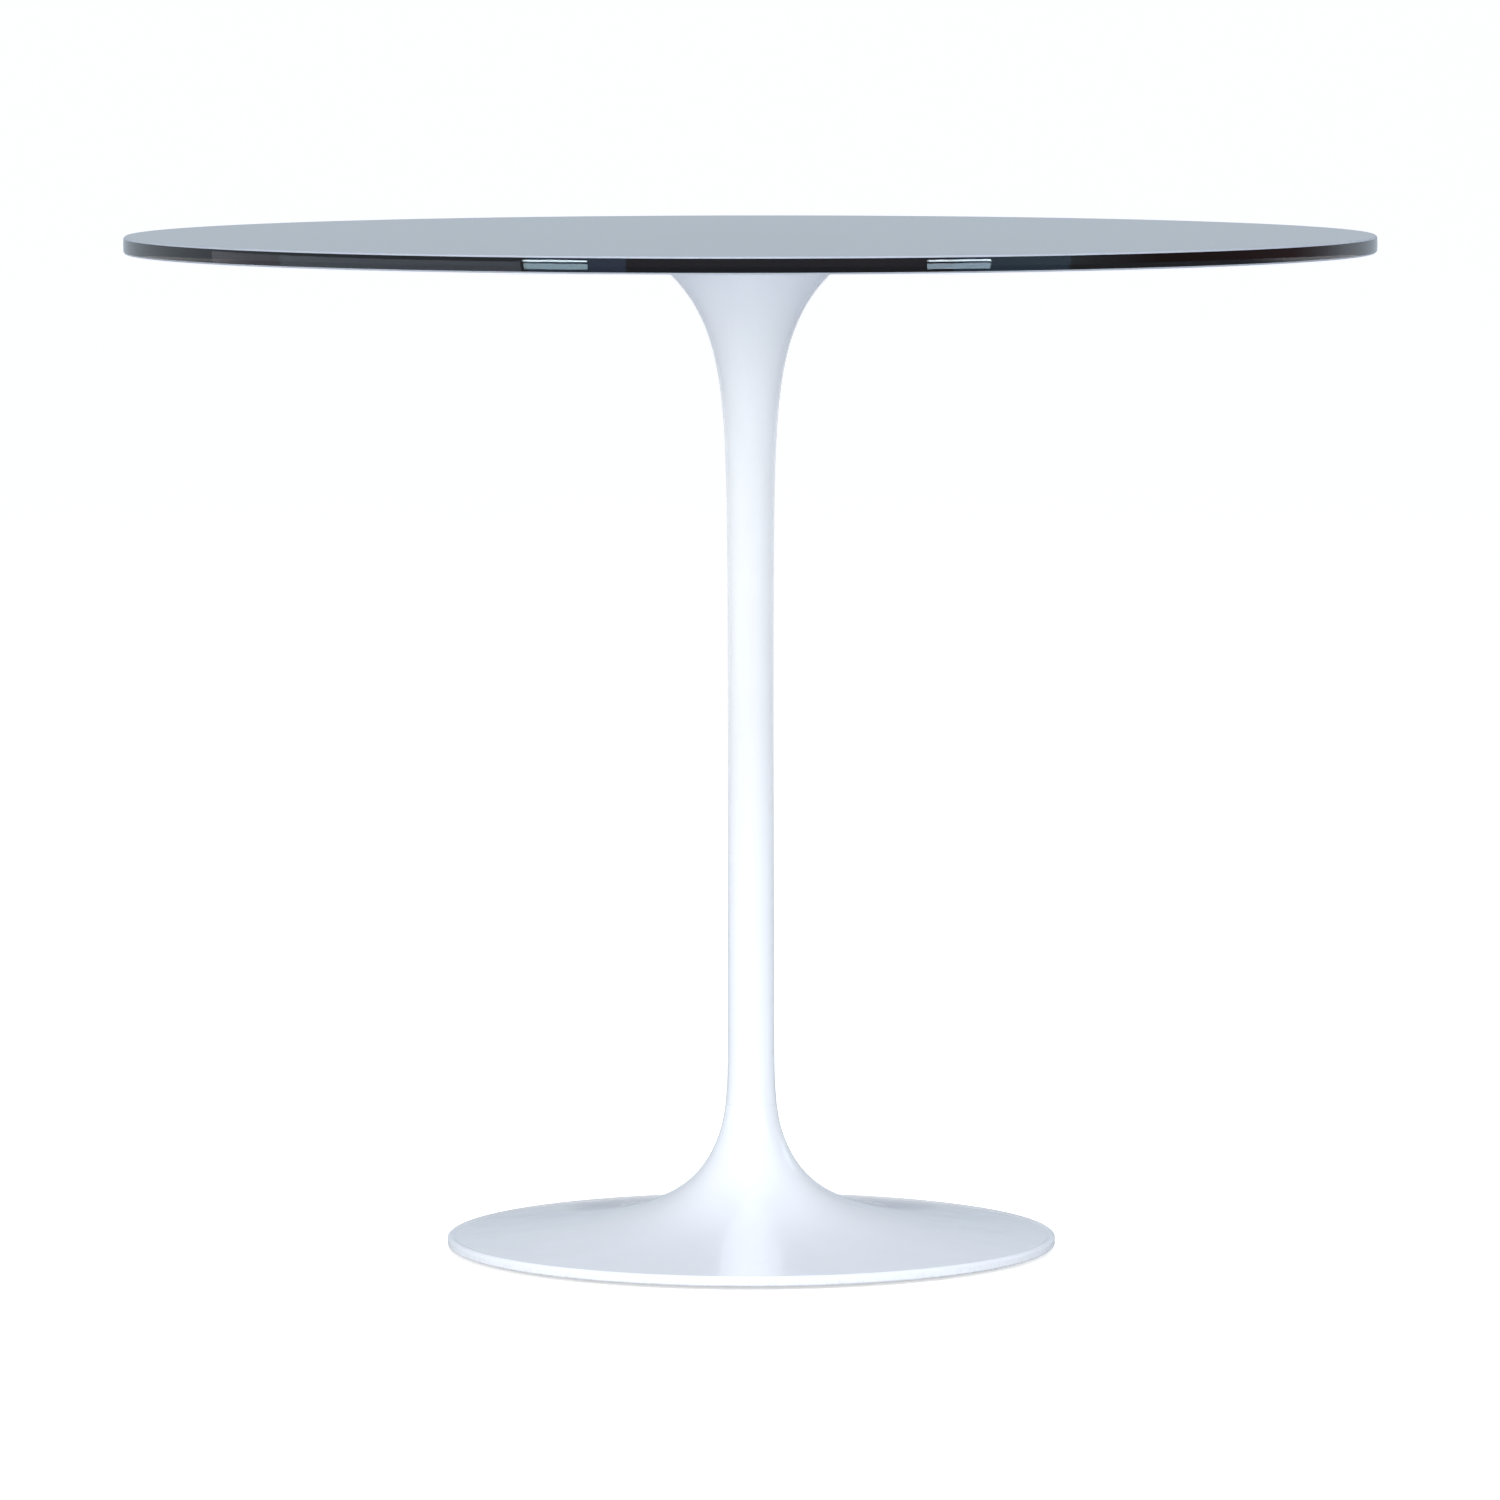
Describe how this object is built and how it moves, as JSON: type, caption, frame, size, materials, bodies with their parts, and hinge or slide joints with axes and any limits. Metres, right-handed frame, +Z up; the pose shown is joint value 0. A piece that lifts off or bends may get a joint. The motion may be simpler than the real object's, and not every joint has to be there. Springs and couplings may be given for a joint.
{
  "type": "round pedestal table",
  "caption": "Round glass-topped table on a slender trumpet-shaped pedestal with a dished round foot and levelling glides.",
  "frame": {"origin": "on the floor, on the table's vertical axis, with the levelling glides screwed fully in", "axes": "+Z up along the turned axis; X and Y are level, with the glides on the diagonals between them"},
  "size_m": [0.9, 0.9, 0.734],
  "materials": {
    "smoked_glass": "grey-tinted toughened float glass with a polished edge",
    "clear_adhesive": "clear cured adhesive film",
    "white_lacquer": "gloss white lacquer on cast metal",
    "satin_aluminium": "turned satin aluminium",
    "zinc_steel": "bright zinc-plated steel",
    "raw_steel": "dark oiled steel plate",
    "seat_rubber": "matt black rubber",
    "glide_nylon": "moulded dark nylon"
  },
  "bodies": {
    "table": {"glass_top": "smoked_glass", "bond_film": "clear_adhesive", "support_plate": "satin_aluminium", "rod_hub": "zinc_steel", "hub_screw_1": "zinc_steel", "hub_screw_2": "zinc_steel", "hub_screw_3": "zinc_steel", "hub_screw_4": "zinc_steel", "seat_ring": "seat_rubber", "column": "white_lacquer", "base_casting": "white_lacquer", "tie_rod": "zinc_steel", "anchor_washer": "zinc_steel", "spring_washer": "zinc_steel", "clamp_nut": "zinc_steel", "ballast_ring": "raw_steel", "ballast_screw_1": "zinc_steel", "ballast_screw_2": "zinc_steel", "ballast_screw_3": "zinc_steel", "ballast_screw_4": "zinc_steel"},
    "glide_1": {"glide_foot_1": "glide_nylon", "glide_stud_1": "zinc_steel"},
    "glide_2": {"glide_foot_2": "glide_nylon", "glide_stud_2": "zinc_steel"},
    "glide_3": {"glide_foot_3": "glide_nylon", "glide_stud_3": "zinc_steel"},
    "glide_4": {"glide_foot_4": "glide_nylon", "glide_stud_4": "zinc_steel"}
  },
  "joints": [
    {"name": "glide_1_screw", "type": "slide", "parent": "table", "child": "glide_1", "axis": [0, 0, -1], "range_m": [0, 0.003]},
    {"name": "glide_2_screw", "type": "slide", "parent": "table", "child": "glide_2", "axis": [0, 0, -1], "range_m": [0, 0.003]},
    {"name": "glide_3_screw", "type": "slide", "parent": "table", "child": "glide_3", "axis": [0, 0, -1], "range_m": [0, 0.003]},
    {"name": "glide_4_screw", "type": "slide", "parent": "table", "child": "glide_4", "axis": [0, 0, -1], "range_m": [0, 0.003]}
  ]
}
